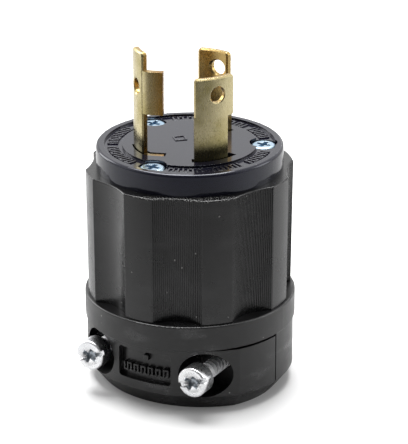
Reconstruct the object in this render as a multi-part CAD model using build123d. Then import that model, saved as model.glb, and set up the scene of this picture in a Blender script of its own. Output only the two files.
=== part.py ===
from build123d import *
import math
import os

os.makedirs("parts", exist_ok=True)

# A three blade locking plug, standing on its cord end with the blades up.
# The axis is Z, the clamp jaw faces -Y, and angles are counted from -Y towards +X.

# Heights, from the surface that the plug stands on
block_height = 16.8
ring_height = 6.3
shell_height = 31.3
flange_height = 5.5

# Radii, each worked out from the one inside it, from the blade circle outward
blade_radius = 13.4
terminal_room = 6.8
shell_wall = 4.7
shell_step = 0.5
shell_draft = 0.25
ledge_width = 2.6
ring_lip = 0.4
shell_bore_radius = blade_radius + terminal_room
shell_top_radius = shell_bore_radius + shell_wall
shell_bottom_radius = shell_top_radius - shell_draft
face_radius = shell_top_radius - ledge_width
ring_radius = shell_top_radius + shell_step
block_radius = ring_radius - ring_lip
ring_edge_fillet = 0.4
cut_overrun = 1.0

# Grip shell
land_count = 8
land_half_angle = 8.3
scallop_top_depth = 1.6
scallop_bottom_depth = 2.75
shell_edge_fillet = 0.3

# Face body
face_rim_width = 1.9
face_floor_depth = 0.6
pad_inset = 6.2
pad_radius = face_radius - pad_inset
face_edge_fillet = 0.7
spigot_length = 5.4
spigot_clearance = 0.15

# Blades, each an arc of sheet brass on one blade circle
blade_thickness = 1.6
power_blade_height = 20.0
ground_blade_height = 24.6
hot_blade_drop = 0.4
step_height = 9.9
blade_corner = 0.9
blade_bevel = 0.35
blade_hole_diameter = 3.7
blade_hole_bevel = 0.3
blade_hole_height = 15.8
neutral_start = 34.1
neutral_span_angle = 46.0
neutral_hole_angle = 58.9
hot_start = 161.1
hot_span_angle = 38.9
hot_hole_angle = 175.4
step_span_angle = 9.0
ground_start = -53.6
ground_span_angle = 28.0
leg_length = 3.1
leg_turn_angle = 46.0
leg_top_drop = 4.2
leg_bend = 1.0
leg_root_drop = 0.2
slot_side_clearance = 0.3
slot_end_clearance = 0.5
shoulder_span_angle = 4.0
shoulder_height = 1.6

# Terminal block and terminals
terminal_block_fit = 0.6
terminal_block_radius = shell_bore_radius - terminal_block_fit
terminal_block_height = 14.0
pocket_width = 11.4
pocket_back_room = 4.8
pocket_inner_radius = blade_radius - pocket_back_room
pocket_roof = 3.0
pad_width = 8.6
pad_bottom_drop = 1.4
terminal_screw_drop = 8.2
terminal_thread_diameter = 3.5
terminal_thread_length = 7.0
terminal_head_diameter = 6.6
terminal_head_height = 2.0
screw_groove_room = 0.6
pressure_plate_width = 9.4
pressure_plate_height = 8.4
pressure_plate_thickness = 1.2
pressure_plate_lip = 1.3
wire_gap = 1.5

# Long screws that hold face, shell and collar together
boss_inset = 2.7
assembly_circle_radius = shell_bore_radius - boss_inset
assembly_angles = (0.0, 120.0, 240.0)
assembly_thread_diameter = 3.5
assembly_head_diameter = 6.0
assembly_head_height = 2.2
assembly_seat_depth = 2.1
assembly_seat_diameter = 6.7
assembly_screw_length = 36.0
cross_recess_width = 1.1
cross_recess_depth = 1.2
cross_recess_reach = 0.6
head_dome = 0.33

# Thread inserts in the collar's bosses
insert_diameter = 4.8
insert_length = 8.0
boss_wall = 0.9
boss_clearance = 0.15
boss_height = 11.0
boss_floor = 1.2

# Clamp collar, the ring and the rear half of the base in one piece
collar_bore_radius = shell_bore_radius
collar_floor = 3.0
cord_hole_radius = 10.5
block_edge_in = 3.4
block_edge_up = 4.3
seam_offset = 2.2
seam_gap = 0.4
jaw_top_gap = 0.7
cord_radius = 8.5
mouth_wall = 2.35
rear_mouth_depth = 5.0
jaw_mouth_depth = 2.0
groove_depth = 1.0
groove_width = 1.8
groove_pitch = 3.6
groove_count = 4
groove_span_angle = 90.0

# Clamp jaw
jaw_front_radius = 28.6
jaw_front_inset = 2.3
jaw_corner = 1.5
panel_width = 14.2
panel_height = 7.8
panel_depth = 1.4
panel_center_height = 10.5
panel_corner = 0.8

# Clamp screws, backed out of the jaw
clamp_screw_inset = 10.55
clamp_screw_height = 10.4
clamp_thread_diameter = 4.2
clamp_screw_length = 25.4
clamp_tip_bevel = 0.5
clamp_head_diameter = 7.4
clamp_head_height = 4.1
clamp_head_edge = 0.5
clamp_head_proud_left = 23.5
clamp_head_proud_right = 24.9
counterbore_diameter = 11.2
counterbore_drop = 0.6
counterbore_floor = 10.0
clamp_hole_clearance = 0.25
thread_fit = 0.05
slot_width = 1.2
slot_depth = 1.1
slot_angle = 20.0
clamp_cross_angle = 65.0
clamp_cross_depth = 1.7
screw_tip_room = 1.5

# Levels and angles worked out from the sizes above
ring_bottom = block_height
ring_top = ring_bottom + ring_height
ledge = ring_top + shell_height
face_top = ledge + flange_height
face_floor = face_top - face_floor_depth
spigot_bottom = ledge - spigot_length
block_top = spigot_bottom
block_bottom = block_top - terminal_block_height
pocket_top = block_top - pocket_roof
blade_inner_radius = blade_radius - blade_thickness
blade_middle_radius = blade_radius - blade_thickness / 2
neutral_terminal_angle = neutral_start + (neutral_span_angle - step_span_angle) / 2
hot_terminal_angle = hot_start + (hot_span_angle - step_span_angle) / 2
ground_terminal_angle = ground_start + ground_span_angle / 2
terminal_screw_height = block_top - terminal_screw_drop
seat_level = face_floor - assembly_seat_depth
boss_radius = insert_diameter / 2 + boss_wall
boss_top = ring_bottom + boss_height
clamp_x = block_radius - clamp_screw_inset
mouth_half_width = clamp_x - clamp_thread_diameter / 2 - mouth_wall
seam_y = -seam_offset
jaw_front_y = -(block_radius - jaw_front_inset)


def polar(radius, angle):
    """Point at a radius and at an angle from -Y towards +X."""
    turn = math.radians(angle)
    return (radius * math.sin(turn), -radius * math.cos(turn))


def disc(radius, height, bottom):
    """Upright cylinder on the axis."""
    return Pos(0, 0, bottom) * extrude(Circle(radius), height)


def post(radius, height, x, y, bottom):
    """Upright cylinder beside the axis."""
    return Pos(x, y, bottom) * extrude(Circle(radius), height)


def rod(radius, start, end, x, z):
    """Cylinder along Y from one y to another."""
    length = end - start
    return Pos(x, start, z) * Rot(-90, 0, 0) * extrude(Circle(radius), length)


def arc_face(start, span, outer, inner):
    """Sector of a ring between two angles."""
    middle = start + span / 2
    end = start + span
    edges = [
        ThreePointArc(polar(outer, start), polar(outer, middle), polar(outer, end)),
        Line(polar(outer, end), polar(inner, end)),
        ThreePointArc(polar(inner, end), polar(inner, middle), polar(inner, start)),
        Line(polar(inner, start), polar(outer, start)),
    ]
    return make_face(edges)


def arc_wall(start, span, outer, inner, bottom, top):
    """Sector of a ring, raised between two heights."""
    return Pos(0, 0, bottom) * extrude(arc_face(start, span, outer, inner), top - bottom)


def leg_face(extra, end_extra):
    """Plan of the ground blade's leg, bent inward from the end of the strip."""
    end = ground_start + ground_span_angle
    turn = math.radians(end)
    along = (math.cos(turn), math.sin(turn))
    inner_bend = leg_bend - extra
    outer_bend = leg_bend + blade_thickness + extra
    outer_arc = JernArc(polar(blade_radius + extra, end), along, outer_bend, leg_turn_angle)
    inner_arc = JernArc(polar(blade_inner_radius - extra, end), along, inner_bend, leg_turn_angle)
    reach = (outer_arc % 1) * (leg_length + end_extra)
    outer_side = Line(outer_arc @ 1, outer_arc @ 1 + reach)
    inner_side = Line(inner_arc @ 1, inner_arc @ 1 + reach)
    tip = Line(outer_side @ 1, inner_side @ 1)
    root = Line(inner_arc @ 0, outer_arc @ 0)
    return make_face([outer_arc, outer_side, tip, inner_side, inner_arc, root])


def ground_face(extra, end_extra):
    """Plan of the ground blade: a strip on the blade circle and a bent leg."""
    spread = math.degrees(end_extra / blade_middle_radius)
    strip = arc_face(
        ground_start - spread,
        ground_span_angle + spread,
        blade_radius + extra,
        blade_inner_radius - extra,
    )
    return strip + leg_face(extra, end_extra)


def scallop_outline(radius, depth):
    """Closed outline of the shell: lands on a circle and hollow scallops between them."""
    pitch = 360 / land_count
    edges = []
    for index in range(land_count):
        land_start = index * pitch - land_half_angle
        land_middle = index * pitch
        land_end = index * pitch + land_half_angle
        next_start = (index + 1) * pitch - land_half_angle
        scallop_middle = (index + 0.5) * pitch
        edges.append(
            ThreePointArc(polar(radius, land_start), polar(radius, land_middle), polar(radius, land_end))
        )
        edges.append(
            ThreePointArc(
                polar(radius, land_end),
                polar(radius - depth, scallop_middle),
                polar(radius, next_start),
            )
        )
    return make_face(edges)


def make_grip_shell():
    """Sleeve with eight scallops that deepen towards the cord end."""
    lower = Pos(0, 0, ring_top) * scallop_outline(shell_bottom_radius, scallop_bottom_depth)
    upper = Pos(0, 0, ledge) * scallop_outline(shell_top_radius, scallop_top_depth)
    shell = loft([lower, upper], ruled=True)
    upright = shell.edges().filter_by(lambda e: e.bounding_box().size.Z > shell_height / 2)
    shell = fillet(upright, shell_edge_fillet)
    shell = fillet(shell.edges().group_by(Axis.Z)[-1], shell_edge_fillet)
    shell -= disc(shell_bore_radius, shell_height, ring_top)
    room = boss_radius + boss_clearance
    for angle in assembly_angles:
        x, y = polar(assembly_circle_radius, angle)
        shell -= post(room, boss_top + boss_clearance - ring_top, x, y, ring_top)
    return shell


def make_face_body():
    """Disc that carries the blades, with a spigot that fits the shell."""
    body = disc(face_radius, flange_height, ledge)
    body = fillet(body.edges().group_by(Axis.Z)[-1], face_edge_fillet)
    spigot_radius = shell_bore_radius - spigot_clearance
    body += disc(spigot_radius, spigot_length, spigot_bottom)
    sunk_ring = disc(face_radius - face_rim_width, face_floor_depth, face_floor)
    sunk_ring -= disc(pad_radius, face_floor_depth, face_floor)
    body -= sunk_ring
    cut_height = face_top - spigot_bottom
    for start, span in ((neutral_start, neutral_span_angle), (hot_start, hot_span_angle)):
        spread = math.degrees(slot_end_clearance / blade_middle_radius)
        body -= arc_wall(
            start - spread,
            span + 2 * spread,
            blade_radius + slot_side_clearance,
            blade_inner_radius - slot_side_clearance,
            spigot_bottom,
            face_top,
        )
    ground_cut = extrude(ground_face(slot_side_clearance, slot_end_clearance), cut_height)
    body -= Pos(0, 0, spigot_bottom) * ground_cut
    for angle in assembly_angles:
        x, y = polar(assembly_circle_radius, angle)
        body -= post(assembly_seat_diameter / 2, face_top - seat_level, x, y, seat_level)
        hole_radius = assembly_thread_diameter / 2 + clamp_hole_clearance
        body -= post(hole_radius, seat_level - spigot_bottom, x, y, spigot_bottom)
    return body


def terminal_pad(angle):
    """Flat root of a blade, with the hole for its terminal screw."""
    top = pocket_top + blade_thickness
    height = top - block_bottom - pad_bottom_drop
    pad = Pos(0, -blade_middle_radius, block_bottom + pad_bottom_drop) * Box(
        pad_width, blade_thickness, height, align=(Align.CENTER, Align.CENTER, Align.MIN)
    )
    hole_radius = terminal_thread_diameter / 2 + thread_fit
    start, end = -blade_radius - cut_overrun, -blade_inner_radius + cut_overrun
    hole = rod(hole_radius, start, end, 0, terminal_screw_height)
    return Rot(0, 0, angle) * (pad - hole)


def blade_hole(angle, height):
    """Round hole through a blade, along its own radius, with bevelled rims."""
    radius = blade_hole_diameter / 2
    z = face_top + height
    hole = rod(radius, -blade_radius - cut_overrun, -blade_inner_radius + cut_overrun, 0, z)
    cone = extrude(Circle(radius + 2 * blade_hole_bevel), 2 * blade_hole_bevel, taper=45)
    hole += Pos(0, -blade_radius - blade_hole_bevel, z) * Rot(-90, 0, 0) * cone
    hole += Pos(0, -blade_inner_radius + blade_hole_bevel, z) * Rot(90, 0, 0) * cone
    return Rot(0, 0, angle) * hole


def round_corners(strip, step_angle=None):
    """Round a blade's top corners, and its lower corner at the locking step, and bevel its top."""
    short = strip.edges().filter_by(lambda e: abs(e.length - blade_thickness) < 0.01)
    level = short.filter_by(lambda e: e.bounding_box().size.Z < 0.01)
    corners = list(level.group_by(Axis.Z)[-1])
    if step_angle is not None:
        x, y = polar(blade_middle_radius, step_angle)
        corners += level.group_by(Axis.Z)[0].sort_by_distance((x, y, 0))[:1]
    strip = fillet(corners, blade_corner)
    top_arcs = strip.edges().group_by(Axis.Z)[-1].filter_by(GeomType.CIRCLE)
    return chamfer(top_arcs, blade_bevel)


def make_power_blade(start, span, terminal_angle, hole_angle, drop):
    """Neutral or hot blade: wide above the locking step, narrow below, with a flat root."""
    top = face_top + power_blade_height - drop
    step = face_top + step_height
    stem_span = span - step_span_angle
    upper = arc_wall(start, span, blade_radius, blade_inner_radius, step, top)
    upper = round_corners(upper, start + span)
    stem = arc_wall(start, stem_span, blade_radius, blade_inner_radius, pocket_top, step + blade_corner)
    blade = upper + stem + shoulder_wall(start, span) + terminal_pad(terminal_angle)
    return blade - blade_hole(hole_angle, blade_hole_height - drop)


def shoulder_wall(start, span):
    """Wider stretch of a blade that is caught between face body and terminal block."""
    return arc_wall(
        start - shoulder_span_angle,
        span + 2 * shoulder_span_angle,
        blade_radius,
        blade_inner_radius,
        block_top - shoulder_height,
        block_top,
    )


def make_ground_blade():
    """Longest blade, with the bent leg between the locking step and its top."""
    top = face_top + ground_blade_height
    step = face_top + step_height
    strip = arc_wall(ground_start, ground_span_angle, blade_radius, blade_inner_radius, pocket_top, top)
    strip = round_corners(strip)
    leg_top = top - leg_top_drop
    leg = Pos(0, 0, step) * extrude(leg_face(0, 0), leg_top - step)
    root_top = face_top - leg_root_drop
    leg_root = Pos(0, 0, block_top) * extrude(leg_face(0, 0), root_top - block_top)
    blade = strip + leg + leg_root + shoulder_wall(ground_start, ground_span_angle)
    blade += terminal_pad(ground_terminal_angle)
    return blade - blade_hole(ground_start + ground_span_angle / 2, blade_hole_height)


def make_terminal_block():
    """Insulator behind the face, with a pocket for each terminal."""
    block = disc(terminal_block_radius, terminal_block_height, block_bottom)
    blades = (
        (neutral_start, neutral_span_angle, neutral_terminal_angle),
        (hot_start, hot_span_angle, hot_terminal_angle),
        (ground_start, ground_span_angle, ground_terminal_angle),
    )
    for start, span, terminal_angle in blades:
        depth = terminal_block_radius - pocket_inner_radius + cut_overrun
        pocket = Pos(0, -pocket_inner_radius, block_bottom) * Box(
            pocket_width, depth, pocket_top - block_bottom, align=(Align.CENTER, Align.MAX, Align.MIN)
        )
        block -= Rot(0, 0, terminal_angle) * pocket
        spread = math.degrees(slot_end_clearance / blade_middle_radius)
        block -= arc_wall(
            start - shoulder_span_angle - spread,
            span + 2 * shoulder_span_angle + 2 * spread,
            blade_radius + slot_side_clearance,
            blade_inner_radius - slot_side_clearance,
            block_top - shoulder_height,
            block_top,
        )
        block -= arc_wall(
            start - spread,
            span + 2 * spread,
            blade_radius + slot_side_clearance,
            blade_inner_radius - slot_side_clearance,
            pocket_top,
            block_top,
        )
        pad_slot = Pos(0, -blade_middle_radius, pocket_top) * Box(
            pad_width + 2 * slot_end_clearance,
            blade_thickness + 2 * slot_side_clearance,
            pocket_roof,
            align=(Align.CENTER, Align.CENTER, Align.MIN),
        )
        block -= Rot(0, 0, terminal_angle) * pad_slot
    for angle in assembly_angles:
        x, y = polar(assembly_circle_radius, angle)
        groove_radius = assembly_thread_diameter / 2 + screw_groove_room
        groove = Pos(0, -assembly_circle_radius, block_bottom) * Box(
            2 * groove_radius,
            terminal_block_radius - assembly_circle_radius + cut_overrun,
            terminal_block_height,
            align=(Align.CENTER, Align.MAX, Align.MIN),
        )
        block -= Rot(0, 0, angle) * groove
        block -= post(groove_radius, terminal_block_height, x, y, block_bottom)
    return block


def make_pressure_plate(angle):
    """Plate that a terminal screw presses against the wire, with two lips."""
    inner = blade_radius + wire_gap
    plate = Pos(0, -inner, terminal_screw_height) * Box(
        pressure_plate_width,
        pressure_plate_thickness,
        pressure_plate_height,
        align=(Align.CENTER, Align.MAX, Align.CENTER),
    )
    for side in (-1, 1):
        x = side * (pressure_plate_width - pressure_plate_thickness) / 2
        plate += Pos(x, -inner + pressure_plate_lip, terminal_screw_height) * Box(
            pressure_plate_thickness,
            pressure_plate_thickness + pressure_plate_lip,
            pressure_plate_height,
            align=(Align.CENTER, Align.MAX, Align.CENTER),
        )
    hole_radius = terminal_thread_diameter / 2 + clamp_hole_clearance
    reach = 2 * pressure_plate_thickness
    plate -= rod(hole_radius, -inner - reach, -inner + reach, 0, terminal_screw_height)
    return Rot(0, 0, angle) * plate


def cross_cut(depth, width, reach):
    """Cross recess, cut downward from the plane z = 0."""
    arm = Pos(0, 0, -depth) * Box(reach, width, depth, align=(Align.CENTER, Align.CENTER, Align.MIN))
    return arm + Rot(0, 0, 90) * arm


def make_terminal_screw(angle):
    """Screw that lies along a radius, head outward."""
    seat = blade_radius + wire_gap + pressure_plate_thickness
    head = extrude(Circle(terminal_head_diameter / 2), terminal_head_height)
    head = fillet(head.edges().group_by(Axis.Z)[-1], terminal_head_height * head_dome)
    reach = terminal_head_diameter * cross_recess_reach
    head -= Pos(0, 0, terminal_head_height) * cross_cut(cross_recess_depth, cross_recess_width, reach)
    shank = Pos(0, 0, -terminal_thread_length) * extrude(
        Circle(terminal_thread_diameter / 2), terminal_thread_length
    )
    screw = Pos(0, -seat, terminal_screw_height) * Rot(90, 0, 0) * (head + shank)
    return Rot(0, 0, angle) * screw


def make_assembly_screw(angle):
    """Long pan head screw from the face down to the collar."""
    x, y = polar(assembly_circle_radius, angle)
    head = extrude(Circle(assembly_head_diameter / 2), assembly_head_height)
    head = fillet(head.edges().group_by(Axis.Z)[-1], assembly_head_height * head_dome)
    reach = assembly_head_diameter * cross_recess_reach
    head -= Pos(0, 0, assembly_head_height) * cross_cut(cross_recess_depth, cross_recess_width, reach)
    shank = Pos(0, 0, -assembly_screw_length) * extrude(
        Circle(assembly_thread_diameter / 2), assembly_screw_length
    )
    return Pos(x, y, seat_level) * (head + shank)


def make_thread_insert(angle):
    """Brass bush in the top of a collar boss."""
    x, y = polar(assembly_circle_radius, angle)
    bush = extrude(Circle(insert_diameter / 2), insert_length)
    bush -= extrude(Circle(assembly_thread_diameter / 2 + thread_fit), insert_length)
    return Pos(x, y, boss_top - insert_length) * bush


def slope_lower_edge(block):
    """Slopes in the lower edge of a round block."""
    lower_edge = block.edges().group_by(Axis.Z)[0]
    return chamfer(lower_edge, block_edge_up, block_edge_in, reference=block.faces().sort_by(Axis.Z)[1])


def block_solid():
    """Round base block with its lower edge sloped in, before it is parted at the seam."""
    return slope_lower_edge(disc(block_radius, block_height, 0))


def clamp_channel(side):
    """Room for the cord in one half of the clamp: a round saddle with a wider mouth at the seam."""
    saddle = disc(cord_radius, block_height, 0)
    if side > 0:
        depth, start, align = rear_mouth_depth, seam_y, Align.MIN
    else:
        depth, start, align = jaw_mouth_depth, seam_y - seam_gap, Align.MAX
    mouth = Pos(0, start, 0) * Box(
        2 * mouth_half_width, depth, block_height, align=(Align.CENTER, align, Align.MIN)
    )
    return saddle + mouth


def grip_grooves(side):
    """Grooves across the saddle, whose edges bite the cord."""
    middle = 180 if side > 0 else 0
    grooves = []
    for index in range(groove_count):
        z = block_height / 2 + (index - (groove_count - 1) / 2) * groove_pitch
        section = Polygon(
            (cord_radius - groove_depth, -groove_width / 2),
            (cord_radius, -groove_width / 2),
            (cord_radius + groove_depth, 0),
            (cord_radius, groove_width / 2),
            (cord_radius - groove_depth, groove_width / 2),
            align=None,
        )
        groove = revolve(Plane.XZ * section, Axis.Z, groove_span_angle)
        grooves.append(Pos(0, 0, z) * Rot(0, 0, middle - 90 - groove_span_angle / 2) * groove)
    return grooves


def make_clamp_collar():
    """Ring under the shell, in one piece with the rear half of the base."""
    rear = block_solid()
    rear &= Pos(0, seam_y, 0) * Box(
        4 * block_radius, 2 * block_radius, block_height, align=(Align.CENTER, Align.MIN, Align.MIN)
    )
    rear -= clamp_channel(1)
    for groove in grip_grooves(1):
        rear -= groove
    ring = disc(ring_radius, ring_height, ring_bottom)
    ring = fillet(ring.edges().group_by(Axis.Z)[-1], ring_edge_fillet)
    ring = fillet(ring.edges().group_by(Axis.Z)[0], ring_lip / 2)
    ring -= disc(collar_bore_radius, ring_height - collar_floor, ring_bottom + collar_floor)
    ring -= disc(cord_hole_radius, collar_floor, ring_bottom)
    collar = rear + ring
    for angle in assembly_angles:
        x, y = polar(assembly_circle_radius, angle)
        collar += post(boss_radius, boss_height, x, y, ring_bottom)
        depth = boss_top - ring_bottom - boss_floor
        tip_radius = assembly_thread_diameter / 2 + clamp_hole_clearance
        collar -= post(tip_radius, depth, x, y, ring_bottom + boss_floor)
        collar -= post(insert_diameter / 2, insert_length, x, y, boss_top - insert_length)
    hole_end = screw_tip_seated() + screw_tip_room
    hole_radius = clamp_thread_diameter / 2 + thread_fit
    for side in (-1, 1):
        collar -= rod(hole_radius, seam_y - cut_overrun, hole_end, side * clamp_x, clamp_screw_height)
    return collar


def screw_tip_seated():
    """How far back a clamp screw's tip reaches when its head is seated in the jaw."""
    return -counterbore_floor + clamp_screw_length


def front_disc(radius):
    """Upright disc whose side is the curve of the jaw's front, or a curve parallel to it."""
    return Pos(0, jaw_front_y + jaw_front_radius) * disc(radius, block_height, 0)


def panel_cut():
    """Sunk panel whose floor follows the curve of the jaw's front."""
    outline = Pos(0, 0, panel_center_height) * Rot(90, 0, 0) * RectangleRounded(
        panel_width, panel_height, panel_corner
    )
    sides = extrude(outline, 2 * block_radius)
    return sides - front_disc(jaw_front_radius - panel_depth)


def make_clamp_jaw():
    """Front half of the base, with a flatter front, a sloped lower edge and two counterbores."""
    jaw = block_solid() & slope_lower_edge(front_disc(jaw_front_radius))
    front_edges = jaw.edges().filter_by(lambda e: e.center().Y < jaw_front_y / 2)
    corners = front_edges.filter_by(lambda e: e.bounding_box().size.X < block_edge_in)
    jaw = fillet(corners, jaw_corner)
    jaw &= Pos(0, seam_y - seam_gap, 0) * Box(
        4 * block_radius,
        2 * block_radius,
        block_height - jaw_top_gap,
        align=(Align.CENTER, Align.MAX, Align.MIN),
    )
    jaw -= clamp_channel(-1)
    for groove in grip_grooves(-1):
        jaw -= groove
    pocket_height = clamp_screw_height - counterbore_drop
    for side in (-1, 1):
        x = side * clamp_x
        jaw -= rod(counterbore_diameter / 2, -block_radius, -counterbore_floor, x, pocket_height)
        hole_radius = clamp_thread_diameter / 2 + clamp_hole_clearance
        jaw -= rod(hole_radius, -block_radius, seam_y + cut_overrun, x, clamp_screw_height)
    return jaw - panel_cut()


def make_clamp_screw(side, proud):
    """Fillister head screw with a slot across a cross recess, lying along Y."""
    head = extrude(Circle(clamp_head_diameter / 2), clamp_head_height)
    head = fillet(head.edges().group_by(Axis.Z)[-1], clamp_head_edge)
    slot = Pos(0, 0, clamp_head_height - slot_depth) * Box(
        clamp_head_diameter + cut_overrun,
        slot_width,
        slot_depth,
        align=(Align.CENTER, Align.CENTER, Align.MIN),
    )
    reach = clamp_head_diameter / 2
    cross = Pos(0, 0, clamp_head_height) * cross_cut(clamp_cross_depth, cross_recess_width, reach)
    shank = Pos(0, 0, -clamp_screw_length) * extrude(Circle(clamp_thread_diameter / 2), clamp_screw_length)
    tip = shank.edges().group_by(Axis.Z)[0]
    shank = chamfer(tip, clamp_tip_bevel)
    screw = head - Rot(0, 0, slot_angle) * slot - Rot(0, 0, clamp_cross_angle) * cross + shank
    underside = proud - clamp_head_height
    return Pos(side * clamp_x, -underside, clamp_screw_height) * Rot(90, 0, 0) * screw


def build_parts():
    """Every node of the plug by name."""
    parts = {
        "face_body": make_face_body(),
        "terminal_block": make_terminal_block(),
        "ground_blade": make_ground_blade(),
        "neutral_blade": make_power_blade(
            neutral_start, neutral_span_angle, neutral_terminal_angle, neutral_hole_angle, 0
        ),
        "hot_blade": make_power_blade(
            hot_start, hot_span_angle, hot_terminal_angle, hot_hole_angle, hot_blade_drop
        ),
        "grip_shell": make_grip_shell(),
        "clamp_collar": make_clamp_collar(),
        "clamp_jaw": make_clamp_jaw(),
    }
    terminals = (
        ("ground", ground_terminal_angle),
        ("neutral", neutral_terminal_angle),
        ("hot", hot_terminal_angle),
    )
    for name, angle in terminals:
        parts[name + "_pressure_plate"] = make_pressure_plate(angle)
        parts[name + "_terminal_screw"] = make_terminal_screw(angle)
    for number, angle in enumerate(assembly_angles, start=1):
        parts["assembly_screw_" + str(number)] = make_assembly_screw(angle)
        parts["thread_insert_" + str(number)] = make_thread_insert(angle)
    parts["clamp_screw_left"] = make_clamp_screw(-1, clamp_head_proud_left)
    parts["clamp_screw_right"] = make_clamp_screw(1, clamp_head_proud_right)
    return parts


for node, shape in build_parts().items():
    export_step(shape, "parts/" + node + ".step")
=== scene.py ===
import math
import bmesh
import bpy
from mathutils import Matrix, Vector


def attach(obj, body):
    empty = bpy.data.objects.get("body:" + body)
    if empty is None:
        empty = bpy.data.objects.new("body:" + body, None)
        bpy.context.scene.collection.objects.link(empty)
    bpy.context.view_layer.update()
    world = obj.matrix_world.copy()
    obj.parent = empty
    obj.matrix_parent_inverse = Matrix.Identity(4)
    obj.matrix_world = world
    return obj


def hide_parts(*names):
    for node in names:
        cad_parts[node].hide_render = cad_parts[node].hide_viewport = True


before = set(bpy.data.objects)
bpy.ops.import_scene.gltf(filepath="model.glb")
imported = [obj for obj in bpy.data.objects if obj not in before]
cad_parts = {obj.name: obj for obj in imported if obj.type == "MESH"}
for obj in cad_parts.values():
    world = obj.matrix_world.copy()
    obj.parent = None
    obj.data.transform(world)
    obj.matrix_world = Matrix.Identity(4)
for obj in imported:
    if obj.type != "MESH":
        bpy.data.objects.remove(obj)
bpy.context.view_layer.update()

MM = 0.001

# Sizes of the plug that the added pieces need, in millimetres
ring_top = 23.1
ledge = 54.4
face_top = 59.9
face_floor = 59.1
shell_top_radius = 24.9
shell_bottom_radius = 24.65
scallop_top_depth = 1.6
scallop_bottom_depth = 2.75
land_half_angle = 8.3
land_pitch = 45.0
scallop_count = 8
rib_count = 27
rib_half_width = 0.19
rib_proud = 0.14
rib_top_room = 0.25
smooth_scallop = 7
mark_inner_radius = 17.0
mark_outer_radius = 19.6
mark_bevel = 0.06
jaw_front_radius = 28.6
jaw_front = 22.7
panel_depth = 1.4
clamp_x = 14.45
clamp_screw_height = 10.4
clamp_head_height = 4.1
clamp_screw_length = 25.4
left_screw_proud = 23.5
right_screw_proud = 24.9
shank_overlap = 0.3
shank_stub = 0.15
recess_reach = 1.95
recess_start = 0.12
recess_stop = 0.3
thread_core_radius = 1.35
thread_crest_radius = 2.08
thread_root_sink = 0.1
thread_root_half_width = 0.4
thread_crest_half_width = 0.2
thread_pitch = 1.41
thread_neck = 2.3
thread_point = 2.2
point_share = 0.55

# Where the rolled brass is tinted, in mm: dark above the face, a painted reflection of the black face,
# and warm along the ground blade's leg
root_reflection_span = (5.2, 1.5)
leg_warm_x = (-5.8, -0.6)
leg_warm_end_x = (1.6, 0.2)
leg_warm_y = (-8.5, -9.5)

# Steps that draw one turn of the thread
steps_per_turn = 24

# Places in a clamp screw's list of materials; its head has the first
RECESS_SHADE, THREAD_ROOT, THREAD_CREST = 1, 2, 3

# The table's radius in metres, its colour and lift for the camera, and its colour in reflections
TABLE_RADIUS = 6.0
TABLE_PALE = 0.8
TABLE_LIFT = 0.03
TABLE_MIRRORED = 0.47
TABLE_MIRRORED_NEAR = 0.09

# The strength of the world as a light, and in reflections of the far and the near side
WORLD_FILL = 0.42
WORLD_MIRRORED = 1.15
WORLD_MIRRORED_NEAR = 0.12

# The way from the plug to the near side, where the photograph was taken from
NEAR_SIDE = (0.49, -0.87, 0.0)


def polar(radius, angle):
    """Point at a radius in millimetres and at an angle from -Y towards +X."""
    turn = math.radians(angle)
    return Vector((radius * math.sin(turn), -radius * math.cos(turn), 0)) * MM


# Shader helpers
def place(tree, kind, inputs=None, **settings):
    """Adds a node, and gives each of its inputs a number or another node's output."""
    node = tree.nodes.new(kind)
    for key, value in settings.items():
        setattr(node, key, value)
    for key, value in (inputs or {}).items():
        if isinstance(value, bpy.types.NodeSocket):
            tree.links.new(value, node.inputs[key])
        else:
            node.inputs[key].default_value = value
    return node


def math_node(tree, operation, first, second=0.0, clamp=False):
    inputs = {0: first, 1: second}
    return place(tree, "ShaderNodeMath", inputs, operation=operation, use_clamp=clamp).outputs[0]


def times(tree, first, second):
    return math_node(tree, "MULTIPLY", first, second)


def ramp(tree, value, low, high):
    """0 below low, 1 above high, smooth between."""
    node = place(
        tree, "ShaderNodeMapRange", {"Value": value, "From Min": low, "From Max": high},
        interpolation_type="SMOOTHSTEP", clamp=True,
    )
    return node.outputs["Result"]


def between(tree, value, start, end, low=0.0, high=1.0):
    """start where the value is low, end where it is high, in a straight line between."""
    node = place(
        tree, "ShaderNodeMapRange",
        {"Value": value, "From Min": low, "From Max": high, "To Min": start, "To Max": end},
    )
    return node.outputs["Result"]


def towards_viewer(tree, way):
    """How far a point or a direction lies towards the near side."""
    node = place(tree, "ShaderNodeVectorMath", {0: way, 1: NEAR_SIDE}, operation="DOT_PRODUCT")
    return node.outputs["Value"]


def noise(tree, point, scale, detail, roughness=0.5):
    node = place(
        tree, "ShaderNodeTexNoise",
        {"Vector": point, "Scale": scale, "Detail": detail, "Roughness": roughness},
    )
    return node.outputs["Fac"]


def blend_colour(tree, amount, first, second):
    node = place(tree, "ShaderNodeMix", {0: amount, 6: first, 7: second}, data_type="RGBA")
    return node.outputs[2]


def start_group(name, inputs, outputs):
    """Empty node group with named float, vector or colour sockets."""
    group = bpy.data.node_groups.new(name, "ShaderNodeTree")
    for label, kind, value in inputs:
        item = group.interface.new_socket(name=label, in_out="INPUT", socket_type=kind)
        if value is not None:
            item.default_value = value
    for label, kind in outputs:
        group.interface.new_socket(name=label, in_out="OUTPUT", socket_type=kind)
    entry = group.nodes.new("NodeGroupInput")
    leave = group.nodes.new("NodeGroupOutput")
    return group, entry.outputs, leave.inputs


FLOAT = "NodeSocketFloat"
VECTOR = "NodeSocketVector"


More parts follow.
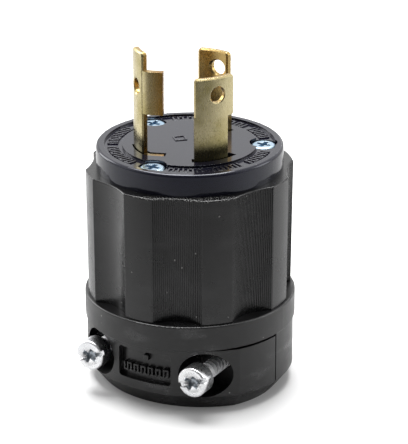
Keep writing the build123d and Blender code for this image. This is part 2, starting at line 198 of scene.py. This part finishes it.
def make_grain_group():
    """Moulded or rolled grain: a fine height and a slow mottle."""
    group, given, result = start_group(
        "surface_grain",
        [("Point", VECTOR, None), ("Fine Scale", FLOAT, 4000.0), ("Slow Scale", FLOAT, 150.0)],
        [("Height", FLOAT), ("Mottle", FLOAT)],
    )
    fine = noise(group, given["Point"], given["Fine Scale"], 2.0, 0.55)
    slow = noise(group, given["Point"], given["Slow Scale"], 4.0, 0.6)
    group.links.new(fine, result["Height"])
    group.links.new(slow, result["Mottle"])
    return group


def make_scratch_group():
    """Hairline scratches in three directions, broken up by a slow noise."""
    group, given, result = start_group(
        "fine_scratches",
        [("Point", VECTOR, None), ("Scale", FLOAT, 300.0), ("Amount", FLOAT, 0.5)],
        [("Mask", FLOAT)],
    )
    total = None
    for turn, shift in ((0.35, 0.0), (1.3, 0.7), (2.4, 1.9)):
        bend = place(
            group, "ShaderNodeMapping",
            {
                "Vector": given["Point"], "Location": (shift, shift * 2, 0),
                "Rotation": (turn, turn * 0.6, turn), "Scale": (1.0, 0.06, 1.0),
            },
        )
        lines = place(
            group, "ShaderNodeTexVoronoi",
            {"Vector": bend.outputs[0], "Scale": given["Scale"], "Randomness": 1.0},
            feature="DISTANCE_TO_EDGE",
        )
        thin = ramp(group, lines.outputs["Distance"], 0.03, 0.0)
        total = thin if total is None else math_node(group, "MAXIMUM", total, thin)
    patch_scale = times(group, given["Scale"], 0.35)
    patches = noise(group, given["Point"], patch_scale, 2.0)
    low = math_node(group, "SUBTRACT", 0.9, times(group, given["Amount"], 0.5))
    high = math_node(group, "ADD", low, 0.12)
    broken = math_node(group, "MULTIPLY", total, ramp(group, patches, low, high), clamp=True)
    group.links.new(broken, result["Mask"])
    return group


def make_dust_group():
    """Sparse pale specks."""
    group, given, result = start_group(
        "dust_specks",
        [("Point", VECTOR, None), ("Scale", FLOAT, 500.0), ("Amount", FLOAT, 0.1)],
        [("Mask", FLOAT)],
    )
    cells = place(
        group, "ShaderNodeTexVoronoi", {"Vector": given["Point"], "Scale": given["Scale"]}, feature="F1"
    )
    dot = ramp(group, cells.outputs["Distance"], 0.16, 0.06)
    pick = place(group, "ShaderNodeSeparateColor", {0: cells.outputs["Color"]})
    limit = math_node(group, "SUBTRACT", 1.0, given["Amount"])
    chosen = math_node(group, "GREATER_THAN", pick.outputs[0], limit)
    group.links.new(times(group, dot, chosen), result["Mask"])
    return group


def make_edge_group():
    """Rounded edge normal, and a mask of the edges, broken by noise, for rubbed wear and painted
    highlight.
    """
    group, given, result = start_group(
        "rubbed_and_highlighted_edges",
        [("Point", VECTOR, None), ("Radius", FLOAT, 0.00015), ("Break Scale", FLOAT, 900.0)],
        [("Mask", FLOAT), ("Normal", VECTOR)],
    )
    rounded = place(group, "ShaderNodeBevel", {"Radius": given["Radius"]}, samples=6)
    flat = place(group, "ShaderNodeNewGeometry")
    facing = place(
        group, "ShaderNodeVectorMath",
        {0: rounded.outputs[0], 1: flat.outputs["Normal"]}, operation="DOT_PRODUCT",
    )
    edge = ramp(group, facing.outputs["Value"], 0.995, 0.93)
    rough = noise(group, given["Point"], given["Break Scale"], 3.0, 0.7)
    broken = times(group, edge, ramp(group, rough, 0.42, 0.62))
    group.links.new(broken, result["Mask"])
    group.links.new(rounded.outputs[0], result["Normal"])
    return group


GRAIN = make_grain_group()
SCRATCHES = make_scratch_group()
DUST = make_dust_group()
EDGES = make_edge_group()

# Metres over which edges round off and grain stands
EDGE_RADIUS = 0.00012
BUMP_DISTANCE = 0.00003

# Colours that wear and dirt give to black plastic and to brass, with painted highlight in the rubbed edge
# grey and a painted dark reflection of the face in the dull brass
RUBBED_HIGHLIGHT = (0.09, 0.09, 0.092, 1)
SCRATCHED = (0.1, 0.1, 0.1, 1)
DUSTY = (0.22, 0.22, 0.21, 1)
WORN_PALE = (0.3, 0.3, 0.29, 1)
GREASY = (0.034, 0.034, 0.036, 1)
FACE_REFLECTION_BRASS = (0.08, 0.075, 0.035, 1)
WARM_BRASS = (0.33, 0.18, 0.04, 1)


def start_material(name):
    """Material with its Principled shader and its object coordinates."""
    material = bpy.data.materials.new(name)
    material.use_nodes = True
    tree = material.node_tree
    tree.nodes.clear()
    shader = place(tree, "ShaderNodeBsdfPrincipled")
    output = place(tree, "ShaderNodeOutputMaterial")
    tree.links.new(shader.outputs[0], output.inputs["Surface"])
    point = place(tree, "ShaderNodeTexCoord").outputs["Object"]
    return material, tree, shader, point


def use_group(tree, group, inputs):
    """Places a group with its inputs, and gives its outputs."""
    return place(tree, "ShaderNodeGroup", inputs, node_tree=group).outputs


def rim_wear(tree, point, height):
    """Dense pale specks along the front of an edge at a height in metres."""
    axes = place(tree, "ShaderNodeSeparateXYZ", {0: point}).outputs
    off = math_node(tree, "ABSOLUTE", math_node(tree, "SUBTRACT", axes["Z"], height))
    band = ramp(tree, off, 0.0004, 0.0001)
    front = ramp(tree, towards_viewer(tree, point), 0.0205, 0.0225)
    grit = ramp(tree, noise(tree, point, 3200.0, 2.0, 0.7), 0.56, 0.64)
    return times(tree, times(tree, band, front), grit)


def outer_side(tree, point):
    """1 on the faces of a blade that look away from the plug's axis, 0 on its other faces."""
    flat = place(tree, "ShaderNodeVectorMath", {0: point, 1: (1, 1, 0)}, operation="MULTIPLY")
    outward = place(tree, "ShaderNodeVectorMath", {0: flat.outputs[0]}, operation="NORMALIZE")
    facing = place(
        tree, "ShaderNodeVectorMath",
        {0: outward.outputs[0], 1: place(tree, "ShaderNodeNewGeometry").outputs["Normal"]},
        operation="DOT_PRODUCT",
    )
    return ramp(tree, facing.outputs["Value"], 0.5, 0.8)


def tint_brass_root_and_leg(tree, point, cloud, body):
    """Brass darkened where the blades leave the face, a painted reflection of the black face, and warm
    along the ground blade's leg.
    """

    def along(way, span):
        return ramp(tree, axes[way], span[0] * MM, span[1] * MM)

    axes = place(tree, "ShaderNodeSeparateXYZ", {0: point}).outputs
    # Dark brass just above the face: painted reflection of the black face
    root = along("Z", (face_top + root_reflection_span[0], face_top + root_reflection_span[1]))
    body = blend_colour(tree, times(tree, root, 0.65), body, FACE_REFLECTION_BRASS)
    leg = times(tree, along("X", leg_warm_x), along("Y", leg_warm_y))
    leg = times(tree, leg, along("X", leg_warm_end_x))
    patchy = times(tree, leg, ramp(tree, cloud, 0.1, 0.5))
    return blend_colour(tree, patchy, body, WARM_BRASS)


def make_plastic(
    name, dark, light, gloss, matt, grain_depth,
    scratch=0.4, dust=0.04, gleam=0.5, gleam_tint=(1, 1, 1, 1), smudge=0.0, worn_rim=None,
):
    """Black moulded plastic with mottle, grain, scratches, dust, smudges and rubbed edges with painted
    highlight.
    """
    material, tree, shader, point = start_material(name)
    grain = use_group(tree, GRAIN, {"Point": point, "Fine Scale": 5200.0, "Slow Scale": 170.0})
    lines = use_group(tree, SCRATCHES, {"Point": point, "Scale": 260.0, "Amount": scratch})
    specks = use_group(tree, DUST, {"Point": point, "Scale": 620.0, "Amount": dust})
    edges = use_group(tree, EDGES, {"Point": point, "Radius": EDGE_RADIUS, "Break Scale": 1500.0})
    body = blend_colour(tree, grain["Mottle"], dark, light)
    # Paler edges: rubbed wear and painted highlight
    body = blend_colour(tree, times(tree, edges["Mask"], 0.35), body, RUBBED_HIGHLIGHT)
    body = blend_colour(tree, times(tree, lines["Mask"], 0.18), body, SCRATCHED)
    body = blend_colour(tree, specks["Mask"], body, DUSTY)
    if worn_rim:
        body = blend_colour(tree, rim_wear(tree, point, worn_rim), body, WORN_PALE)
    flat = place(tree, "ShaderNodeMapping", {"Vector": point, "Scale": (1.0, 1.0, 3.2)})
    smear = ramp(tree, noise(tree, flat.outputs[0], 70.0, 6.0, 0.62), 0.5, 0.68)
    body = blend_colour(tree, times(tree, smear, smudge), body, GREASY)
    tree.links.new(body, shader.inputs["Base Color"])
    shader.inputs["Specular IOR Level"].default_value = gleam
    shader.inputs["Specular Tint"].default_value = gleam_tint
    sheen = between(tree, grain["Mottle"], gloss, matt, 0.3, 0.7)
    rough = math_node(tree, "ADD", sheen, times(tree, lines["Mask"], 0.15))
    rough = math_node(tree, "SUBTRACT", rough, times(tree, smear, smudge * 0.3))
    rough = math_node(tree, "ADD", rough, times(tree, specks["Mask"], 0.4), clamp=True)
    tree.links.new(rough, shader.inputs["Roughness"])
    height = math_node(tree, "SUBTRACT", grain["Height"], times(tree, lines["Mask"], 0.8))
    bump = place(
        tree, "ShaderNodeBump",
        {"Strength": grain_depth, "Distance": BUMP_DISTANCE, "Height": height, "Normal": edges["Normal"]},
    )
    tree.links.new(bump.outputs[0], shader.inputs["Normal"])
    return material


def make_metal(
    name, base, tint, edge_colour, gloss, matt, grain_depth,
    grain_scale=2400.0, grain_stretch=(1.0, 1.0, 1.0), shaded_side_tint=None, tinted_root_and_leg=False,
):
    """Rolled or plated metal: stretched grain, tarnish, handling scratches, bright edges of wear and
    painted highlight, painted shade on sides that don't face outward, and where asked a painted dark
    reflection at the blade roots with warmer brass along the ground blade's leg.
    """
    material, tree, shader, point = start_material(name)
    shader.inputs["Metallic"].default_value = 1.0
    rolled = place(tree, "ShaderNodeMapping", {"Vector": point, "Scale": grain_stretch})
    grain = use_group(
        tree, GRAIN, {"Point": rolled.outputs[0], "Fine Scale": grain_scale, "Slow Scale": 220.0}
    )
    lines = use_group(tree, SCRATCHES, {"Point": point, "Scale": 420.0, "Amount": 0.55})
    edges = use_group(tree, EDGES, {"Point": point, "Radius": EDGE_RADIUS, "Break Scale": 1800.0})
    cloud = noise(tree, point, 95.0, 4.0, 0.6)
    body = blend_colour(tree, ramp(tree, cloud, 0.38, 0.64), base, tint)
    fleck = times(tree, ramp(tree, grain["Height"], 0.35, 0.75), 0.2)
    body = blend_colour(tree, fleck, body, tint)
    # Darker, warmer brass on the faces that don't look outward: painted shade
    if shaded_side_tint:
        body = blend_colour(tree, outer_side(tree, point), shaded_side_tint, body)
    # Bright edges: handling wear and painted highlight
    body = blend_colour(tree, edges["Mask"], body, edge_colour)
    if tinted_root_and_leg:
        body = tint_brass_root_and_leg(tree, point, cloud, body)
    tree.links.new(body, shader.inputs["Base Color"])
    sheen = between(tree, grain["Height"], gloss, matt, 0.3, 0.7)
    rough = math_node(tree, "ADD", sheen, times(tree, lines["Mask"], 0.12), clamp=True)
    tree.links.new(rough, shader.inputs["Roughness"])
    height = math_node(tree, "SUBTRACT", grain["Height"], times(tree, lines["Mask"], 0.6))
    bump = place(
        tree, "ShaderNodeBump",
        {"Strength": grain_depth, "Distance": BUMP_DISTANCE, "Height": height, "Normal": edges["Normal"]},
    )
    tree.links.new(bump.outputs[0], shader.inputs["Normal"])
    return material


finishes = {
    "face_plastic": make_plastic(
        "glossy_black_face", dark=(0.005, 0.005, 0.0095, 1), light=(0.0065, 0.0065, 0.0135, 1),
        gloss=0.08, matt=0.16, grain_depth=0.12, scratch=0.35, dust=0.03,
        gleam=0.46, gleam_tint=(0.9, 0.93, 1.0, 1),
    ),
    "block_plastic": make_plastic(
        "inner_black_block", dark=(0.012, 0.012, 0.012, 1), light=(0.02, 0.02, 0.02, 1),
        gloss=0.4, matt=0.55, grain_depth=0.4,
    ),
    "shell_plastic": make_plastic(
        "satin_black_shell", dark=(0.0018, 0.0018, 0.002, 1), light=(0.0035, 0.0035, 0.0038, 1),
        gloss=0.2, matt=0.3, grain_depth=0.35, scratch=0.5, dust=0.06,
        gleam=0.53, smudge=0.15, worn_rim=(ledge - 0.1) * MM,
    ),
    "clamp_plastic": make_plastic(
        "satin_black_clamp", dark=(0.0018, 0.0018, 0.002, 1), light=(0.0035, 0.0035, 0.0038, 1),
        gloss=0.3, matt=0.42, grain_depth=0.35, scratch=0.5, dust=0.05,
        gleam=0.55, smudge=0.55,
    ),
    "blade_brass": make_metal(
        "rolled_brass", base=(0.61, 0.535, 0.32, 1), tint=(0.41, 0.35, 0.16, 1),
        edge_colour=(0.58, 0.51, 0.35, 1), gloss=0.2, matt=0.3,
        grain_scale=2600.0, grain_stretch=(1.0, 1.0, 0.35), grain_depth=0.08,
        shaded_side_tint=(0.46, 0.32, 0.12, 1), tinted_root_and_leg=True,
    ),
    "plate_brass": make_metal(
        "stamped_brass", base=(0.55, 0.43, 0.2, 1), tint=(0.42, 0.33, 0.16, 1),
        edge_colour=(0.8, 0.68, 0.4, 1), gloss=0.3, matt=0.45,
        grain_scale=2600.0, grain_stretch=(1.0, 1.0, 0.5), grain_depth=0.4,
    ),
    "brass_screw": make_metal(
        "turned_brass", base=(0.6, 0.46, 0.2, 1), tint=(0.5, 0.38, 0.18, 1),
        edge_colour=(0.85, 0.74, 0.46, 1), gloss=0.2, matt=0.34,
        grain_scale=2600.0, grain_depth=0.3,
    ),
    "green_screw": make_metal(
        "green_plated_screw", base=(0.05, 0.3, 0.1, 1), tint=(0.04, 0.22, 0.08, 1),
        edge_colour=(0.3, 0.5, 0.3, 1), gloss=0.22, matt=0.36,
        grain_scale=2600.0, grain_depth=0.3,
    ),
    "zinc_screw": make_metal(
        "bright_zinc_screw", base=(0.98, 0.98, 0.985, 1), tint=(0.82, 0.83, 0.85, 1),
        edge_colour=(0.99, 0.99, 0.99, 1), gloss=0.24, matt=0.38, grain_depth=0.2,
    ),
}
# Darker bluish zinc in the cross recess of the clamp screw heads: painted shade
recess_shade_zinc = make_metal(
    "cross_recess_shade_zinc", base=(0.48, 0.52, 0.56, 1), tint=(0.38, 0.42, 0.47, 1),
    edge_colour=(0.6, 0.62, 0.65, 1), gloss=0.3, matt=0.4, grain_depth=0.35,
)
# Brighter zinc on the thread's crests: painted highlight
lit_thread_zinc = make_metal(
    "thread_crest_highlight_zinc", base=(0.99, 0.99, 0.99, 1), tint=(0.9, 0.9, 0.91, 1),
    edge_colour=(0.99, 0.99, 0.99, 1), gloss=0.5, matt=0.62, grain_depth=0.1,
)
# Near-black zinc on the thread's core and roots: painted shade of the valleys
shaded_zinc = make_metal(
    "thread_root_shade_zinc", base=(0.07, 0.07, 0.074, 1), tint=(0.04, 0.04, 0.043, 1),
    edge_colour=(0.09, 0.09, 0.092, 1), gloss=0.34, matt=0.45, grain_depth=0.2,
)
blue_zinc = make_metal(
    "blue_zinc_screw", base=(0.46, 0.58, 0.68, 1), tint=(0.32, 0.45, 0.57, 1),
    edge_colour=(0.85, 0.9, 0.95, 1), gloss=0.24, matt=0.38, grain_depth=0.35,
)

for node_name, node_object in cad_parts.items():
    for place_in_list, held in enumerate(node_object.data.materials):
        finish = finishes[held.name.split(".")[0]]
        if node_name.startswith("assembly_screw"):
            finish = blue_zinc
        node_object.data.materials[place_in_list] = finish


def add_piece(name, mesh_work, finish, body, sharp_angle=40.0, flat_way=None):
    """Turns a bmesh into a piece with a finish, riding on a body; faces along flat_way stay flat."""
    bmesh.ops.recalc_face_normals(mesh_work, faces=mesh_work.faces)
    mesh = bpy.data.meshes.new(name)
    mesh_work.to_mesh(mesh)
    mesh_work.free()
    for face in mesh.polygons:
        face.use_smooth = flat_way is None or face.normal.dot(flat_way) < 0.999
    mesh.set_sharp_from_angle(angle=math.radians(sharp_angle))
    mesh.materials.append(finishes[finish])
    piece = bpy.data.objects.new(name, mesh)
    bpy.context.scene.collection.objects.link(piece)
    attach(piece, body)
    return piece


def scallop_point(radius, depth, share, middle_angle):
    """Point on a scallop's hollow arc, at a share from -1 to 1 across it, in plan."""
    half = math.radians(land_pitch / 2 - land_half_angle)
    chord_half = radius * math.sin(half)
    chord_distance = radius * math.cos(half)
    floor_distance = radius - depth
    sag = chord_distance - floor_distance
    x = share * chord_half
    out = floor_distance + sag * share * share
    across = polar(1.0, middle_angle + 90)
    outward = polar(1.0, middle_angle)
    return across * x + outward * out


def make_grip_ribs():
    """Fine upright ribs in the hollow of each ribbed scallop."""
    work = bmesh.new()
    for index in range(scallop_count):
        middle_angle = (index + 0.5) * land_pitch
        if index == smooth_scallop:
            continue
        for rib in range(rib_count):
            share = (rib + 0.5) / rib_count * 2 - 1
            low = scallop_point(shell_bottom_radius, scallop_bottom_depth, share, middle_angle)
            high = scallop_point(shell_top_radius, scallop_top_depth, share, middle_angle)
            low.z = ring_top * MM
            high.z = (ledge - rib_top_room) * MM
            up = (high - low) / 2
            middle = (high + low) / 2
            outward = polar(1.0, middle_angle) / MM
            across = up.cross(outward).normalized()
            outward = across.cross(up).normalized()
            section = (across * rib_half_width * MM, outward * rib_proud * MM, up)
            turn = Matrix(section).transposed().to_4x4()
            bmesh.ops.create_cone(
                work, cap_ends=True, segments=8, radius1=1, radius2=1, depth=2,
                matrix=Matrix.Translation(middle) @ turn,
            )
    add_piece("grip_ribs", work, "shell_plastic", "plug_body", 60.0)


def add_bar(work, matrix, size):
    """Small block of a width, depth and height in millimetres, set by a matrix."""
    scale = Matrix.Diagonal((size[0] * MM, size[1] * MM, size[2] * MM, 1))
    bmesh.ops.create_cube(work, size=1, matrix=matrix @ scale)


def soften(work, width):
    """Bevels every edge of a piece."""
    bmesh.ops.bevel(
        work, geom=work.edges[:], offset=width * MM, offset_type="OFFSET", segments=1,
        profile=0.5, affect="EDGES", material=-1,
    )


def make_face_marks():
    """Plain raised meanders round the sunk ring of the face, and a small lozenge on its pad."""
    work = bmesh.new()
    middle_radius = (mark_inner_radius + mark_outer_radius) / 2
    reach = mark_outer_radius - mark_inner_radius
    stroke, tall, rise, pitch = 0.5, 0.7, 0.15, 3.6

    def add_mark(radius, angle, width, length):
        middle = polar(radius, angle)
        middle.z = (face_floor + rise) * MM
        turn = Matrix.Rotation(math.radians(angle), 4, "Z")
        add_bar(work, Matrix.Translation(middle) @ turn, (width, length, tall))

    # The angle of each run's first upright, and the number of its uprights
    runs = ((-98, 11), (-54, 11), (14, 8), (47, 7), (78, 8), (134, 7), (164, 9), (204, 6))
    for start, count in runs:
        for index in range(count):
            angle = start + index * pitch
            add_mark(middle_radius, angle, stroke, reach)
            if index < count - 1 and index % 3 != 2:
                outer = index % 2
                radius = mark_outer_radius - stroke / 2 if outer else mark_inner_radius + stroke / 2
                link = radius * math.radians(pitch)
                add_mark(radius, angle + pitch / 2, link, stroke * 0.96)
    lozenge = Vector((-3.4, 1.2, face_top)) * MM
    out = Matrix.Translation(Vector((1.3, 0, 0)) * MM)
    thick = 0.4
    for turn in range(4):
        side = Matrix.Translation(lozenge) @ Matrix.Rotation(math.radians(45 + 90 * turn), 4, "Z")
        add_bar(work, side @ out, (thick, 2.9 if turn % 2 else 2.2, thick))
    soften(work, mark_bevel)
    add_piece("face_marks", work, "face_plastic", "plug_body")


def make_panel_marks():
    """Plain raised meander and a dot that stand on the floor of the jaw's sunk panel."""
    work = bmesh.new()
    count, pitch, low, high = 13, 0.95, 8.3, 10.5
    stroke, proud, shift = 0.42, 1.1, 0.3
    dot_across, dot_height, dot_side = 0.6, 12.9, 1.3

    def add_stroke(across, height, width, tall):
        fall = jaw_front_radius - math.sqrt(jaw_front_radius ** 2 - across ** 2)
        spot = Vector((across, fall - jaw_front + panel_depth, height)) * MM
        turn = Matrix.Rotation(math.asin(across / jaw_front_radius), 4, "Z")
        add_bar(work, Matrix.Translation(spot) @ turn, (width, 2 * proud, tall))

    for index in range(count):
        across = (index - (count - 1) / 2) * pitch + shift
        add_stroke(across, (low + high) / 2, stroke, high - low)
        if index < count - 1:
            link = high - stroke / 2 if index % 2 else low + stroke / 2
            add_stroke(across + pitch / 2, link, pitch + stroke * 0.9, stroke * 0.98)
    add_stroke(dot_across, dot_height, dot_side, dot_side)
    soften(work, mark_bevel)
    add_piece("panel_marks", work, "clamp_plastic", "jaw")


def thread_work(start, end):
    """Thread forming screw's core, blunt point and coarse thread, along -Z from start to end in mm."""
    work = bmesh.new()
    outline = [
        (0, start), (thread_core_radius, start), (thread_core_radius, end + thread_point),
        (thread_core_radius * point_share, end), (0, end),
    ]
    made = [work.verts.new(Vector((x, 0, z)) * MM) for x, z in outline]
    edges = [work.edges.new(pair) for pair in zip(made, made[1:])]
    bmesh.ops.spin(
        work, geom=made + edges, cent=(0, 0, 0), axis=(0, 0, 1), angle=2 * math.pi, steps=32,
        use_merge=True, use_normal_flip=False, use_duplicate=False,
    )
    bmesh.ops.remove_doubles(work, verts=work.verts, dist=0.001 * MM)
    for face in work.faces:
        face.material_index = THREAD_ROOT
    turns = (start - thread_neck - end - thread_point) / thread_pitch
    steps = int(turns * steps_per_turn)
    root, crest = thread_core_radius - thread_root_sink, thread_crest_radius
    section = [
        (root, thread_root_half_width), (crest, thread_crest_half_width),
        (crest, -thread_crest_half_width), (root, -thread_root_half_width),
    ]
    rise = start - thread_neck
    ring = [work.verts.new(Vector((x, 0, rise + z)) * MM) for x, z in section]
    cap = work.faces.new(ring)
    step_down = -turns * thread_pitch * MM / steps
    bmesh.ops.spin(
        work, geom=ring + list(cap.edges) + [cap], cent=(0, 0, 0), axis=(0, 0, 1),
        dvec=(0, 0, step_down), angle=turns * 2 * math.pi, steps=steps,
        use_merge=False, use_normal_flip=False, use_duplicate=False,
    )
    for face in work.faces:
        if face.material_index != THREAD_ROOT:
            face.material_index = THREAD_CREST
    return work


def make_clamp_screw(side, proud, name):
    """Clamp screw: the solid's own head, with a threaded shank in place of the plain one."""
    node = "clamp_screw_" + name
    underside = -(proud - clamp_head_height) * MM
    work = bmesh.new()
    work.from_mesh(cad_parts[node].data)
    bmesh.ops.remove_doubles(work, verts=work.verts, dist=0.002 * MM)
    cut = bmesh.ops.bisect_plane(
        work, geom=work.verts[:] + work.edges[:] + work.faces[:], dist=0.0001 * MM,
        plane_co=(0, underside + shank_stub * MM, 0), plane_no=(0, 1, 0), clear_outer=True,
    )
    rim = [item for item in cut["geom_cut"] if isinstance(item, bmesh.types.BMEdge)]
    bmesh.ops.holes_fill(work, edges=rim, sides=0)
    recess_from, recess_to = (recess_start - proud) * MM, underside - recess_stop * MM
    for face in work.faces:
        middle = face.calc_center_median()
        off = math.hypot(middle.x - side * clamp_x * MM, middle.z - clamp_screw_height * MM)
        if off < recess_reach * MM and recess_from < middle.y < recess_to:
            # Faces inside the cross recess take the painted shade
            face.material_index = RECESS_SHADE
    shank = thread_work(shank_overlap, -clamp_screw_length)
    shank_mesh = bpy.data.meshes.new("shank")
    shank.to_mesh(shank_mesh)
    shank.free()
    seat = Vector((side * clamp_x * MM, underside, clamp_screw_height * MM))
    shank_mesh.transform(Matrix.Translation(seat) @ Matrix.Rotation(math.radians(90), 4, "X"))
    work.from_mesh(shank_mesh)
    bpy.data.meshes.remove(shank_mesh)
    piece = add_piece("threaded_" + node, work, "zinc_screw", name + "_screw", 35.0, Vector((0, -1, 0)))
    for extra in (recess_shade_zinc, shaded_zinc, lit_thread_zinc):
        piece.data.materials.append(extra)
    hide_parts(node)


make_grip_ribs()
make_face_marks()
make_panel_marks()
make_clamp_screw(-1, left_screw_proud, "left")
make_clamp_screw(1, right_screw_proud, "right")


# Floor and light
def make_floor():
    """White table that keeps the shadow; reflections see it greyer, and darkest on the near side."""
    work = bmesh.new()
    bmesh.ops.create_circle(work, cap_ends=True, segments=96, radius=TABLE_RADIUS)
    mesh = bpy.data.meshes.new("floor")
    work.to_mesh(mesh)
    work.free()
    table = bpy.data.objects.new("floor", mesh)
    bpy.context.scene.collection.objects.link(table)
    material, tree, shader, point = start_material("white_table")
    shader.inputs["Roughness"].default_value = 0.7
    shader.inputs["Emission Color"].default_value = (1, 1, 1, 1)
    path = place(tree, "ShaderNodeLightPath")
    away = place(tree, "ShaderNodeVectorMath", {0: point}, operation="LENGTH")
    far = ramp(tree, away.outputs["Value"], 0.35, 1.2)
    lift = times(tree, path.outputs["Is Camera Ray"], math_node(tree, "ADD", far, TABLE_LIFT))
    tree.links.new(lift, shader.inputs["Emission Strength"])
    near = ramp(tree, towards_viewer(tree, point), 0.02, 0.26)
    mirrored = between(tree, near, TABLE_MIRRORED, TABLE_MIRRORED_NEAR)
    pale = between(tree, path.outputs["Is Glossy Ray"], TABLE_PALE, mirrored)
    tree.links.new(pale, shader.inputs["Base Color"])
    mesh.materials.append(material)


def make_world():
    """White for the camera; for the reflections bright behind the plug and dark on the near side."""
    world = bpy.data.worlds.new("studio")
    bpy.context.scene.world = world
    world.use_nodes = True
    tree = world.node_tree
    tree.nodes.clear()
    path = place(tree, "ShaderNodeLightPath")
    way = place(tree, "ShaderNodeTexCoord").outputs["Generated"]
    near = ramp(tree, towards_viewer(tree, way), 0.0, 0.7)
    mirrored = between(tree, near, WORLD_MIRRORED, WORLD_MIRRORED_NEAR)
    fill = between(tree, path.outputs["Is Glossy Ray"], WORLD_FILL, mirrored)
    level = between(tree, path.outputs["Is Camera Ray"], fill, 1.0)
    background = place(tree, "ShaderNodeBackground", {"Color": (1, 1, 1, 1), "Strength": level})
    output = place(tree, "ShaderNodeOutputWorld")
    tree.links.new(background.outputs[0], output.inputs["Surface"])


def add_softbox(name, spot, target, size, power):
    lamp = bpy.data.lights.new(name, "AREA")
    lamp.shape = "RECTANGLE"
    lamp.size, lamp.size_y = size
    lamp.energy = power
    holder = bpy.data.objects.new(name, lamp)
    holder.location = spot
    holder.rotation_euler = (Vector(target) - Vector(spot)).to_track_quat("-Z", "Y").to_euler()
    bpy.context.scene.collection.objects.link(holder)


make_floor()
make_world()
plug_middle = (0.0, 0.0, 0.04)
add_softbox("left_softbox", (-0.75, 0.1, 0.35), plug_middle, size=(0.35, 0.5), power=2.2)
add_softbox("right_softbox", (0.65, 0.55, 0.35), plug_middle, size=(0.35, 0.5), power=1.5)
add_softbox("top_softbox", (-0.12, 0.13, 0.8), plug_middle, size=(0.6, 0.6), power=14.0)

# Camera
camera_data = bpy.data.cameras.new("camera")
camera_data.sensor_fit = "HORIZONTAL"
camera_data.sensor_width = 36.0
camera_data.lens = 232.0
camera = bpy.data.objects.new("camera", camera_data)
eye = Vector((0.2910, -0.5096, 0.2724))
look = Vector((0.00293, 0.00165, 0.03957))
camera.location = eye
camera.rotation_euler = (look - eye).to_track_quat("-Z", "Y").to_euler()
bpy.context.scene.collection.objects.link(camera)
bpy.context.scene.camera = camera
bpy.context.scene.view_settings.view_transform = "Standard"
